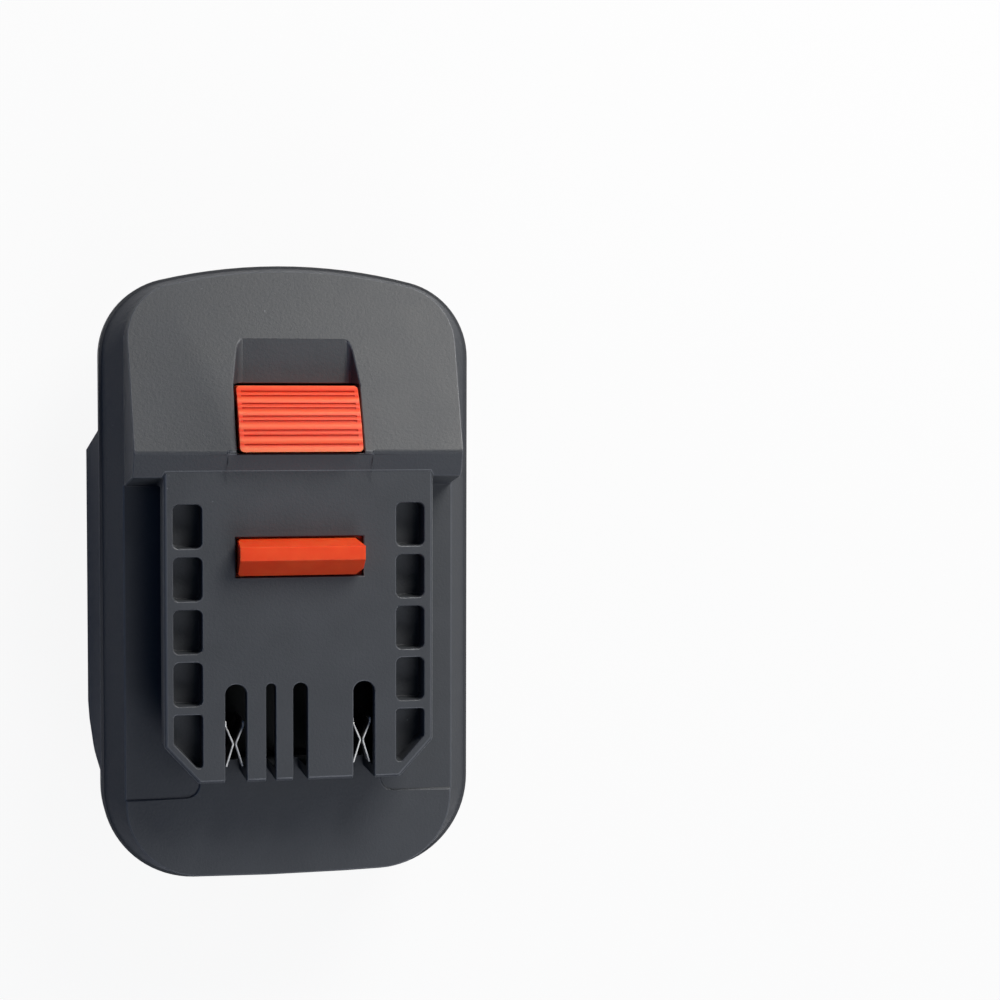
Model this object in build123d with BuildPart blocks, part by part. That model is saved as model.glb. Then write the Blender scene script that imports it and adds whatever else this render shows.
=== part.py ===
import os
from math import cos, pi, sin, sqrt

from build123d import *

# A slide-on adapter that joins one maker's battery pack to another maker's tool.
# It lies on its battery side: +Z towards the tool, +Y towards the release button, in millimetres.
os.makedirs("parts", exist_ok=True)

# Body
rear_end_y = 59.15
front_end_y = -59.15
rim_half_width = 35.7
rim_corner = 15.0
front_corner_gain = 3.0
crown_radius = 102.5
front_bow_radius = 600.0
wing_flare = 1.8
wall = 2.2
overrun = 2.0

body_length = rear_end_y - front_end_y
wing_half_width = rim_half_width + wing_flare

# Heights, each above the one before it
pocket_depth = 19.8
floor_thickness = 2.2
rim_band = 5.2
flank_rise = 5.7
block_rise = 13.3
ridge_rise = 2.0
head_rear_rise = 4.3

floor_top = pocket_depth + floor_thickness
rim_top = pocket_depth + rim_band
plateau = rim_top + flank_rise
block_top = plateau + block_rise
ridge_top = block_top + ridge_rise
head_rear_top = rim_top + head_rear_rise

# Upper housing: foot, sloped flanks and head
foot_inset = 0.5
flank_inset = 4.4
end_inset = 1.3
flank_corner = 11.0
head_draft = 0.8
ridge_setback = 35.15
bevel_run = 4.7
head_foot_run = 2.0
bevel_foot_drop = 0.6
ridge_radius = 1.0
tongue_depth = 2.2
tongue_thickness = 0.9
tongue_gap = 0.15

ridge_y = rear_end_y - ridge_setback
bevel_foot_y = ridge_y - bevel_run
head_foot_y = bevel_foot_y - head_foot_run

# Rail block of the tool side
block_half_width = 25.2
block_setback = 21.7
block_chamfer_x = 6.3
block_chamfer_y = 6.95
block_wall = 2.3
block_edge = 0.5
rail_thickness = 7.0
rail_undercut = 3.6
front_wall = 2.2
channel_step = 0.35
channel_reach = 5.05
channel_corner = 2.7
channel_tuck = 7.7

block_front_y = front_end_y + block_setback
channel_front_y = block_front_y - channel_reach
channel_inner_x = block_half_width - channel_tuck

# Pockets that lighten the rails
pocket_pitch = 9.73
pocket_length = 8.1
pocket_setback = 4.95
pocket_wall = 1.75
pocket_width = 5.3
pocket_recess = 5.2
pocket_corner = 1.1
last_pocket_length = 9.9
last_pocket_corner = 0.6

pocket_rear_y = bevel_foot_y - pocket_setback
pocket_rows = int((pocket_rear_y - block_front_y - last_pocket_length) / pocket_pitch)
block_cavity_half_width = block_half_width - 2 * pocket_wall - pocket_width

# Slots for the tool's blades
power_slot_x = 12.0
power_slot_width = 4.0
signal_slots = ((-5.5, 1.8), (0.0, 2.7))
slot_length = 18.35
slot_corner_share = 0.48

slot_rear_y = block_front_y + slot_length

# Release latch: ridged button and tooth in one moulding
latch_gap = 0.35
button_half_width = 11.4
button_setback = 0.05
button_length = 12.15
button_drop = 5.7
button_front_rise = 1.3
button_crown = 0.5
button_skirt = 13.0
button_corner = 0.8
groove_shares = (0.1, 0.175, 0.3, 0.37, 0.495, 0.565, 0.7, 0.775, 0.9)
groove_margin = 0.8
groove_width = 0.4
groove_depth = 0.25
tooth_half_width = 11.6
tooth_setback = 38.55
tooth_length = 6.75
tooth_rise = 4.4
tooth_rear_lean = 1.2
tooth_crest = 2.5
tooth_heel = 0.5
tooth_corner = 1.2
tooth_end_edge = 0.4
shoulder = 1.5
arm_thickness = 2.6
arm_half_width = 9.5
stop_gap = 0.2

button_front_y = ridge_y + button_setback
button_rear_y = button_front_y + button_length
button_rear_top = ridge_top - button_drop
tooth_front_y = block_front_y + tooth_setback
tooth_rear_y = tooth_front_y + tooth_length

# Thumb scoop behind the button
scoop_half_width = 10.6
scoop_flare = 3.2
scoop_depth = 10.0
scoop_length = 8.3
scoop_corner = 1.5
scoop_wall = 1.6
scoop_gap = 0.45

# Latch springs and their posts
spring_x = 7.6
spring_setback = 6.0
spring_mean_radius = 2.2
spring_wire = 0.6
spring_turns = 4
wire_sides = 6
gap_steps = 48
spring_socket_gap = 0.45
spring_socket_depth = 3.4
post_gap = 0.4
post_height = 3.0

# Battery side: skirt, lips and pocket
boss_inset = 11.0
boss_setback = 8.15
boss_radius = 5.4
skirt_setback = 0.5
skirt_front_radius = 75.0
taper_length = 25.0
knee_length = 12.0
knee_inset = 1.8
knee_radius = 18.0
shoulder_drop = 9.5
wing_draft = 0.7
belly_depth = 6.0
belly_inset = 3.2
ramp_setback = 31.65
ramp_run = 8.3
ramp_fillet = 4.0
groove_wall = 4.3
lip_width = 3.7
lip_thickness = 4.6
lip_setback = 6.2
lip_corner = 2.0
end_wall_setback = 20.55
rim_wall = 1.6
core_slot_depth = 2.6
core_slot_setback = 0.9
core_slot_gap = 0.4
core_slot_wall = 1.4
shelf_depth = 4.0
shelf_mouth_length = 9.7
shelf_mouth_inset = 1.9
shelf_setback = 1.55
shelf_front_inset = 2.8
shelf_front_bow = 3.6

boss_x = rim_half_width - boss_inset
boss_y = front_end_y + boss_setback
skirt_front_y = front_end_y + skirt_setback
taper_y = boss_y + taper_length
knee_x = wing_half_width - knee_inset
knee_y = boss_y + knee_length
shoulder_height = pocket_depth - shoulder_drop
ramp_top_y = rear_end_y - ramp_setback
ramp_foot_y = ramp_top_y - ramp_run
groove_half_width = wing_half_width - groove_wall
lip_half_width = groove_half_width - lip_width
lip_rear_y = ramp_foot_y - lip_setback
end_wall_y = front_end_y + end_wall_setback
core_slot_rear_y = ramp_foot_y - core_slot_setback
shelf_mouth_x = lip_half_width - shelf_mouth_inset
shelf_mouth_y = end_wall_y - shelf_mouth_length
shelf_front_x = boss_x - shelf_front_inset
shelf_front_y = front_end_y + shelf_setback
shelf_front_side_y = shelf_front_y + shelf_front_bow

# Recess that the battery's own latch drops into
catch_half_width = 18.7
catch_setback = 26.45
catch_floor_length = 5.7
catch_depth = 5.0
catch_wall = 1.8

catch_rear_y = rear_end_y - catch_setback

# Housing screws and their bosses
rear_screw_inset = 11.2
rear_screw_setback = 16.4
counterbore_radius = 3.9
rear_seat_rise = 3.0
front_seat_drop = 2.8
seat_wall = 2.5
pillar_radius = 5.3
upper_boss_radius = 3.6
screw_clearance_radius = 1.65
screw_shank_radius = 1.45
screw_pilot_radius = 1.5
screw_head_radius = 2.9
screw_head_height = 2.1
screw_length = 9.5
screw_pilot_spare = 0.5
screw_crown_share = 0.75

rear_screw_x = rim_half_width - rear_screw_inset
rear_screw_y = rear_end_y - rear_screw_setback
rear_seat = floor_top + rear_seat_rise
front_seat = pocket_depth - front_seat_drop

# Circuit board under the slots
board_side_gap = 1.1
board_end_gap = 1.45
board_end_margin = 5.2
board_thickness = 1.6
board_clearance = 5.0
board_post_inset = 3.8
board_post_setback = 10.5
board_post_radius = 2.4
board_hole_radius = 1.2
board_screw_shank = 1.0
board_screw_head = 2.0
board_screw_head_height = 1.4
board_screw_length = 6.0
board_corner = 1.5

board_half_width = block_cavity_half_width - board_side_gap
board_front_y = block_front_y + front_wall + board_end_gap
board_post_x = block_cavity_half_width - board_post_inset
board_post_y = tooth_front_y - board_post_setback
board_rear_y = board_post_y + board_end_margin
board_length = board_rear_y - board_front_y
board_height = floor_top + board_clearance

# Sprung fork contacts that grip the tool's blades
contact_sheet = 0.5
contact_base_length = 6.0
contact_setback = 2.55
contact_mouth_length = 4.2
contact_leaf_length = 7.6
contact_pinch = 0.35
contact_mouth_half = 1.6
contact_rear_half = 1.65
contact_leaf_height = 4.0
contact_leaf_gap = 1.8
contact_top_gap = 0.7
contact_leg_length = 0.9
contact_bend = 2.0

contact_mouth_y = block_front_y + contact_setback
contact_pinch_y = contact_mouth_y + contact_mouth_length
contact_rear_y = contact_mouth_y + contact_leaf_length

# Blades for the battery, in a carrier behind the end wall
blade_x = 12.0
blade_thickness = 0.8
blade_height = 6.3
blade_rise = 3.0
blade_recess = 0.8
blade_length = 11.2
blade_point = 1.2
blade_slot_gap = 0.4
carrier_margin = 2.4
carrier_length = 6.6
carrier_roof = 1.3
carrier_gap = 0.1
carrier_screw_x = 6.0
carrier_ear_reach = 2.7
carrier_post_radius = 2.6
carrier_post_height = 3.0
carrier_ear_height = 2.0

carrier_half_width = blade_x + carrier_margin
carrier_height = blade_rise + blade_height + carrier_roof
blade_tip_y = end_wall_y - blade_recess
blade_tail_y = blade_tip_y - blade_length

# Leads from the blades up to the board
lead_radius = 1.1
lead_sides = 8
lead_bend = 2.4
lead_stub = 0.4
lead_board_setback = 5.8
lead_tail_setback = 1.7

lead_height = board_height - lead_bend - lead_stub
lead_board_y = board_front_y + lead_board_setback
lead_tail_y = blade_tail_y + lead_tail_setback

# Parts soldered under the board, each at its shares of the board's half width and length
fuse_size = (2.6, 6.2, 2.1)
fuse_place_shares = (-0.3, 0.66)
fuse_edge_share = 0.2
transistor_size = (6.5, 6.1, 2.3)
transistor_tab = (5.4, 1.6, 0.5)
transistor_place_shares = (0.24, 0.45)
chip_size = (3.9, 4.9, 1.5)
chip_legs = 4
chip_leg_pitch = 1.27
chip_leg_width = 0.42
chip_leg_reach = 1.0
chip_leg_height = 0.25
chip_place_shares = (-0.25, 0.22)
capacitor_radius = 2.5
capacitor_height = 4.0
capacitor_base = 0.8
capacitor_edge = 0.3
capacitor_place_shares = (0.33, 0.8)
resistor_size = (1.6, 0.8, 0.5)
resistor_place_shares = ((-0.64, 0.32), (-0.64, 0.4), (-0.64, 0.48), (0.47, 0.2))


def body_outline(side_inset, tip_inset, corner):
    # the body seen from above: crowned rear end, nearly straight front end
    half_width = rim_half_width - side_inset
    rear = rear_end_y - tip_inset
    front = front_end_y + tip_inset
    crown = crown_radius - tip_inset
    bow = front_bow_radius - tip_inset
    rear_side = rear - crown + sqrt(crown**2 - half_width**2)
    front_side = front + bow - sqrt(bow**2 - half_width**2)
    with BuildSketch() as outline:
        with BuildLine():
            ThreePointArc((-half_width, rear_side), (0, rear), (half_width, rear_side))
            Line((half_width, rear_side), (half_width, front_side))
            ThreePointArc((half_width, front_side), (0, front), (-half_width, front_side))
            Line((-half_width, front_side), (-half_width, rear_side))
        make_face()
        fillet(outline.vertices().group_by(Axis.Y)[-1], radius=corner)
        fillet(outline.vertices().group_by(Axis.Y)[0], radius=corner + front_corner_gain)
    return outline.sketch


def even_inset(inset):
    # the rim's outline drawn in by the same amount all round
    return body_outline(inset, inset, rim_corner - inset)


def block_outline():
    # the rail block seen from above, with its front corners cut
    chamfer_x = block_half_width - block_chamfer_x
    chamfer_y = block_front_y + block_chamfer_y
    with BuildSketch() as outline:
        with BuildLine():
            Polyline(
                (-block_half_width, bevel_foot_y + floor_thickness),
                (-block_half_width, chamfer_y),
                (-chamfer_x, block_front_y),
                (chamfer_x, block_front_y),
                (block_half_width, chamfer_y),
                (block_half_width, bevel_foot_y + floor_thickness),
                close=True,
            )
        make_face()
    return outline.sketch


def skirt_outline():
    # the deep side walls seen from below: wings, tapered ends and two screw bosses
    arc_side = skirt_front_y + skirt_front_radius - sqrt(skirt_front_radius**2 - boss_x**2)
    with BuildSketch() as outline:
        with BuildLine():
            ThreePointArc((-boss_x, arc_side), (0, skirt_front_y), (boss_x, arc_side))
            Polyline(
                (boss_x, arc_side),
                (boss_x + boss_radius, boss_y),
                (knee_x, knee_y),
                (wing_half_width, taper_y),
                (wing_half_width, ramp_top_y + ramp_fillet),
                (-wing_half_width, ramp_top_y + ramp_fillet),
                (-wing_half_width, taper_y),
                (-knee_x, knee_y),
                (-boss_x - boss_radius, boss_y),
                (-boss_x, arc_side),
            )
        make_face()
        knees = outline.vertices().filter_by(lambda v: abs(v.Y - knee_y) < overrun)
        fillet(knees, radius=knee_radius)
        with Locations((boss_x, boss_y), (-boss_x, boss_y)):
            Circle(boss_radius)
    return outline.sketch


def head_height(y):
    # height of the head's sloped top
    share = (y - ridge_y) / (rear_end_y - ridge_y)
    return ridge_top + share * (head_rear_top - ridge_top)


def screw_places():
    # the four housing screws, each with the heights of its seat and of the pillar above it
    sides = (-1, 1)
    rear = [(side * rear_screw_x, rear_screw_y, rear_seat, rear_seat + seat_wall) for side in sides]
    front = [(side * boss_x, boss_y, front_seat, floor_top) for side in sides]
    return rear + front


def housing_form(skin):
    # the upper housing's outside, or its hollow when drawn in by the wall
    top = plateau - skin
    far_rear = rear_end_y + overrun
    far_front = front_end_y - overrun
    corner = flank_corner - skin
    with BuildPart() as form:
        with BuildSketch(Plane.XY.offset(rim_top)):
            add(even_inset(foot_inset + skin))
        with BuildSketch(Plane.XY.offset(top)):
            add(body_outline(flank_inset + skin / 2, end_inset + skin, corner))
        loft()
        with BuildSketch(Plane.XY.offset(top)):
            add(body_outline(flank_inset + skin, end_inset + skin, corner))
        with BuildSketch(Plane.XY.offset(ridge_top + overrun)):
            drawn_in = head_draft + skin
            add(body_outline(flank_inset + drawn_in, end_inset + drawn_in, corner - head_draft))
        loft()
        with BuildSketch(Plane.YZ):
            with BuildLine():
                Polyline(
                    (far_front, rim_top - skin),
                    (far_front, plateau),
                    (head_foot_y, plateau),
                    (bevel_foot_y, block_top - bevel_foot_drop),
                    (ridge_y, ridge_top),
                    (far_rear, head_height(far_rear)),
                    (far_rear, rim_top - skin),
                    close=True,
                )
            make_face()
            if skin > 0:
                offset(amount=-skin, kind=Kind.INTERSECTION)
        extrude(amount=wing_half_width, both=True, mode=Mode.INTERSECT)
    return form.part


def pan_screw(head_radius, head_height, shank_radius, length):
    # one screw, its head below the origin and its shank above it
    with BuildPart() as screw:
        with BuildSketch(Plane.XZ):
            with BuildLine():
                Polyline(
                    (0, -head_height),
                    (head_radius * screw_crown_share, -head_height),
                    (head_radius, 0),
                    (shank_radius, 0),
                    (shank_radius, length),
                    (0, length),
                    close=True,
                )
            make_face()
        revolve(axis=Axis.Z)
    return screw.part


def signal_and_power_slots():
    # every blade slot, as its place across the block and its width
    power = [(side * power_slot_x, power_slot_width) for side in (-1, 1)]
    return power + list(signal_slots)


def on_board(shares):
    # a place under the board, from its shares of the half width and of the length
    across, along = shares
    return across * board_half_width, board_front_y + along * board_length


block_underside = block_top - block_wall
latch_top = block_underside - stop_gap
end_wall_back_y = end_wall_y - wall
carrier_rear_y = end_wall_back_y - carrier_gap
carrier_screw_y = carrier_rear_y - carrier_length - carrier_ear_reach
catch_floor_height = pocket_depth + catch_depth
spring_seat = catch_floor_height + catch_wall
button_bottom = ridge_top - button_skirt
spring_top = button_bottom + spring_socket_depth
spring_y = button_front_y + spring_setback
scoop_floor = ridge_top - scoop_depth
contact_top = block_underside - contact_top_gap
shelf_top = shelf_depth + wall
blade_bottom = shelf_top + blade_rise
board_top = board_height + board_thickness

# Rail block with its undercut rails, still solid inside
with BuildPart() as rail_block:
    with BuildSketch(Plane.XY.offset(plateau - channel_step)):
        add(block_outline())
    extrude(amount=block_rise + channel_step)
    chamfer(rail_block.edges().group_by(Axis.Z)[-1], length=block_edge)
    with BuildSketch(Plane.XY.offset(plateau - channel_step)):
        reach = head_foot_y - block_front_y + overrun
        for side in (-1, 1):
            with Locations((side * block_half_width, head_foot_y - reach / 2)):
                Rectangle(2 * rail_undercut, reach)
    extrude(amount=block_rise + channel_step - rail_thickness, mode=Mode.SUBTRACT)

# Screw bosses, button guide and scoop tray, trimmed to the outside
with BuildPart() as upper_inside:
    with BuildSketch(Plane.XY.offset(rear_seat + seat_wall)):
        with Locations((rear_screw_x, rear_screw_y), (-rear_screw_x, rear_screw_y)):
            Circle(upper_boss_radius)
    extrude(amount=ridge_top - rear_seat - seat_wall)
    guide_x = button_half_width + scoop_gap
    guide_rear_y = button_rear_y + scoop_gap
    scoop_bottom = scoop_floor - scoop_wall
    with BuildSketch(Plane.XY.offset(scoop_bottom)):
        reach = guide_rear_y - button_front_y + latch_gap
        for side in (-1, 1):
            with Locations((side * (guide_x + scoop_wall / 2), guide_rear_y - reach / 2)):
                Rectangle(scoop_wall, reach)
        with Locations((0, guide_rear_y + (scoop_length + scoop_wall) / 2)):
            Rectangle(2 * (guide_x + scoop_wall), scoop_length + scoop_wall)
    extrude(amount=ridge_top - scoop_bottom)
    add(housing_form(0), mode=Mode.INTERSECT)

# Upper housing: the tool's side
with BuildPart() as upper_housing:
    add(housing_form(0))
    ridge = upper_housing.edges().filter_by(Axis.X).sort_by(Axis.Z)[-1]
    fillet(ridge, radius=ridge_radius)
    for side in (-1, 1):
        with BuildSketch(Plane.XY.offset(plateau - channel_step)) as channel:
            reach = head_foot_y - channel_front_y
            width = wing_half_width - channel_inner_x
            with Locations((side * (channel_inner_x + width / 2), head_foot_y - reach / 2)):
                Rectangle(width, reach)
            inner = channel.vertices().group_by(Axis.Y)[0].sort_by(Axis.X)[0 if side > 0 else -1]
            fillet(inner, radius=channel_corner)
        extrude(amount=channel_step, mode=Mode.SUBTRACT)
    add(rail_block.part)
    add(housing_form(wall), mode=Mode.SUBTRACT)
    with BuildSketch(Plane.XY.offset(plateau - wall - overrun)):
        cavity_front_y = block_front_y + front_wall
        reach = ridge_y - cavity_front_y
        with Locations((0, ridge_y - reach / 2)):
            Rectangle(2 * block_cavity_half_width, reach)
    extrude(amount=block_underside - plateau + wall + overrun, mode=Mode.SUBTRACT)
    add(upper_inside.part)
    with BuildSketch(Plane.XY.offset(floor_top)):
        with Locations((boss_x, boss_y), (-boss_x, boss_y)):
            Circle(upper_boss_radius)
    extrude(amount=plateau - wall - floor_top)
    with BuildSketch(Plane.XY.offset(board_top)):
        with Locations((board_post_x, board_post_y), (-board_post_x, board_post_y)):
            Circle(board_post_radius)
    extrude(amount=block_underside - board_top)
    # tongue that locates in the lower rim at both ends
    with BuildSketch(Plane.XY.offset(rim_top - tongue_depth)):
        add(even_inset(rim_wall + tongue_gap))
        add(even_inset(rim_wall + tongue_gap + tongue_thickness), mode=Mode.SUBTRACT)
        with Locations((0, (core_slot_rear_y + end_wall_back_y) / 2)):
            Rectangle(2 * rim_half_width, core_slot_rear_y - end_wall_back_y + 2 * wall, mode=Mode.SUBTRACT)
    extrude(amount=tongue_depth)
    # button opening and the scoop behind it
    with BuildSketch(Plane.XY.offset(scoop_bottom)):
        reach = guide_rear_y - button_front_y + latch_gap
        with Locations((0, guide_rear_y - reach / 2)):
            Rectangle(2 * guide_x, reach)
    extrude(amount=ridge_top - scoop_bottom + overrun, mode=Mode.SUBTRACT)
    with BuildSketch(Plane.XZ.offset(-button_rear_y)) as scoop:
        with BuildLine():
            lip = scoop_half_width + scoop_flare
            Polyline(
                (-scoop_half_width, scoop_floor),
                (scoop_half_width, scoop_floor),
                (lip, ridge_top),
                (-lip, ridge_top),
                close=True,
            )
        make_face()
        fillet(scoop.vertices().group_by(Axis.Y)[0], radius=scoop_corner)
    extrude(amount=-scoop_length - overrun, mode=Mode.SUBTRACT)
    # tooth opening, blade slots and lightening pockets
    with BuildSketch(Plane.XY.offset(block_underside)):
        with Locations((0, (tooth_rear_y + tooth_front_y) / 2)):
            opening = tooth_rear_y - tooth_front_y + 2 * latch_gap
            Rectangle(2 * (tooth_half_width + latch_gap), opening)
    extrude(amount=block_wall, mode=Mode.SUBTRACT)
    for x, width in signal_and_power_slots():
        with BuildSketch(Plane.XY.offset(plateau)) as slot:
            reach = slot_rear_y - block_front_y + overrun
            with Locations((x, slot_rear_y - reach / 2)):
                Rectangle(width, reach)
            fillet(slot.vertices().group_by(Axis.Y)[-1], radius=width * slot_corner_share)
        extrude(amount=block_rise, mode=Mode.SUBTRACT)
    pocket_x = block_half_width - pocket_wall - pocket_width / 2
    with BuildSketch(Plane.XY.offset(block_top - pocket_recess)) as pockets:
        for row in range(pocket_rows):
            with Locations((pocket_x, pocket_rear_y - pocket_length / 2 - row * pocket_pitch)):
                Rectangle(pocket_width, pocket_length)
        fillet(pockets.vertices(), radius=pocket_corner)
        mirror(about=Plane.YZ)
    with BuildSketch(Plane.XY.offset(block_top - pocket_recess)) as last_pockets:
        add(block_outline())
        offset(amount=-pocket_wall, mode=Mode.REPLACE, kind=Kind.INTERSECTION)
        last_rear_y = pocket_rear_y - pocket_rows * pocket_pitch
        with Locations((pocket_x, last_rear_y - last_pocket_length / 2)):
            Rectangle(pocket_width, last_pocket_length, mode=Mode.INTERSECT)
        fillet(last_pockets.vertices(), radius=last_pocket_corner)
        mirror(about=Plane.YZ)
    extrude(amount=pocket_recess, mode=Mode.SUBTRACT)
    # blind holes for the housing and board screws
    for x, y, seat, pillar_top in screw_places():
        with BuildSketch(Plane.XY.offset(pillar_top)):
            with Locations((x, y)):
                Circle(screw_pilot_radius)
        extrude(amount=seat + screw_length + screw_pilot_spare - pillar_top, mode=Mode.SUBTRACT)
    with BuildSketch(Plane.XY.offset(board_top)):
        with Locations((board_post_x, board_post_y), (-board_post_x, board_post_y)):
            Circle(board_screw_shank)
    extrude(amount=board_screw_length, mode=Mode.SUBTRACT)

# Release latch: button, arm, stop plate and tooth in one moulding
with BuildPart() as tooth:
    with BuildSketch(Plane.YZ):
        with BuildLine():
            crest_y = tooth_rear_y - tooth_rear_lean
            Polyline(
                (tooth_rear_y, latch_top),
                (tooth_rear_y, block_top),
                (crest_y, block_top + tooth_rise),
                (crest_y - tooth_crest, block_top + tooth_rise),
                (tooth_front_y, block_top + tooth_heel),
                (tooth_front_y, latch_top),
                close=True,
            )
        make_face()
    extrude(amount=tooth_half_width, both=True)
    with BuildSketch(Plane.XY.offset(latch_top)) as plan:
        with Locations((0, (tooth_rear_y + tooth_front_y) / 2)):
            Rectangle(2 * tooth_half_width, tooth_rear_y - tooth_front_y)
        ends = plan.vertices().group_by(Axis.X)
        chamfer(ends[-1], length=tooth_corner)
        chamfer(ends[0], length=tooth_end_edge)
    extrude(amount=block_top + tooth_rise - latch_top, mode=Mode.INTERSECT)

with BuildPart() as release_latch:
    with BuildSketch(Plane.YZ):
        with BuildLine():
            middle_y = (button_rear_y + button_front_y) / 2 + button_crown
            middle_z = (button_rear_top + ridge_top + button_front_rise) / 2 + button_crown
            crown = ThreePointArc(
                (button_rear_y, button_rear_top),
                (middle_y, middle_z),
                (button_front_y, ridge_top + button_front_rise),
            )
            Polyline(
                (button_front_y, ridge_top + button_front_rise),
                (button_front_y, button_bottom),
                (button_rear_y, button_bottom),
                (button_rear_y, button_rear_top),
            )
        make_face()
    extrude(amount=button_half_width, both=True)
    fillet(release_latch.edges().filter_by(Axis.Z), radius=button_corner)
    for share in groove_shares:
        at_crown = Plane.YZ.from_local_coords(crown @ share)
        along = Plane.YZ.from_local_coords(crown % share)
        groove = Plane(origin=at_crown, x_dir=(1, 0, 0), z_dir=Vector(1, 0, 0).cross(along))
        with BuildSketch(groove):
            Rectangle(2 * (button_half_width - groove_margin), groove_width)
        extrude(amount=groove_depth, both=True, mode=Mode.SUBTRACT)
    with BuildSketch(Plane.XY.offset(button_bottom)):
        with Locations((spring_x, spring_y), (-spring_x, spring_y)):
            Circle(spring_mean_radius + spring_wire / 2 + spring_socket_gap)
    extrude(amount=spring_socket_depth, mode=Mode.SUBTRACT)
    with BuildSketch(Plane.XY.offset(latch_top - arm_thickness)):
        reach = button_front_y - tooth_rear_y
        with Locations((0, tooth_rear_y + reach / 2)):
            Rectangle(2 * arm_half_width, reach)
        with Locations((0, (tooth_rear_y + tooth_front_y) / 2)):
            plate = tooth_rear_y - tooth_front_y + 2 * shoulder
            Rectangle(2 * (tooth_half_width + shoulder), plate)
    extrude(amount=arm_thickness)
    add(tooth.part)


def coil_point(side, turn):
    # a point on a spring's centre line, and the way the wire runs there
    rise = spring_top - spring_seat - spring_wire
    angle = 2 * pi * turn
    radius = spring_mean_radius
    foot = Vector(side * spring_x, spring_y, spring_seat + spring_wire / 2)
    place = foot + Vector(radius * cos(angle), radius * sin(angle), rise * turn / spring_turns)
    way = Vector(-radius * sin(angle), radius * cos(angle), rise / spring_turns / (2 * pi))
    return place, way.normalized()


def latch_spring(side):
    # one coil of drawn wire, each half turn a pair of arcs that meet smoothly
    half_turns = [coil_point(side, step / 2) for step in range(2 * spring_turns + 1)]
    with BuildPart() as spring:
        with BuildLine():
            for (start, start_way), (end, end_way) in zip(half_turns, half_turns[1:]):
                chord = end - start
                spread = 1 - start_way.dot(end_way)
                along = chord.dot(start_way + end_way)
                reach = (sqrt(along**2 + 2 * spread * chord.dot(chord)) - along) / (2 * spread)
                middle = (start + end + (start_way - end_way) * reach) / 2
                TangentArc(start, middle, tangent=start_way)
                TangentArc(middle, end, tangent=chord - (start_way + end_way) * reach)
        with BuildSketch(Plane(origin=half_turns[0][0], z_dir=half_turns[0][1])):
            RegularPolygon(spring_wire / 2, side_count=wire_sides)
        sweep()
    return spring.part


def least_coil_gap():
    # the least free gap between neighbouring turns, measured on points a full turn apart
    points = [coil_point(1, step / gap_steps)[0] for step in range(spring_turns * gap_steps + 1)]
    pairs = [
        (near - far).length
        for place, near in enumerate(points)
        for far in points[place + gap_steps // 2 :]
    ]
    return min(pairs) - spring_wire


print("least gap between spring turns, mm:", round(least_coil_gap(), 3))
latch_springs = {"latch_spring_left": latch_spring(-1), "latch_spring_right": latch_spring(1)}

# Belly that closes the front end below the rim
with BuildPart() as belly:
    with BuildSketch(Plane.XY.offset(pocket_depth - belly_depth)):
        add(even_inset(belly_inset))
    with BuildSketch(Plane.XY.offset(pocket_depth)):
        add(even_inset(0))
    loft()
    with BuildSketch(Plane.XY):
        reach = end_wall_y + wall - front_end_y + overrun
        with Locations((0, end_wall_y + wall - reach / 2)):
            Rectangle(2 * wing_half_width, reach)
    extrude(amount=pocket_depth, mode=Mode.INTERSECT)

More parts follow.
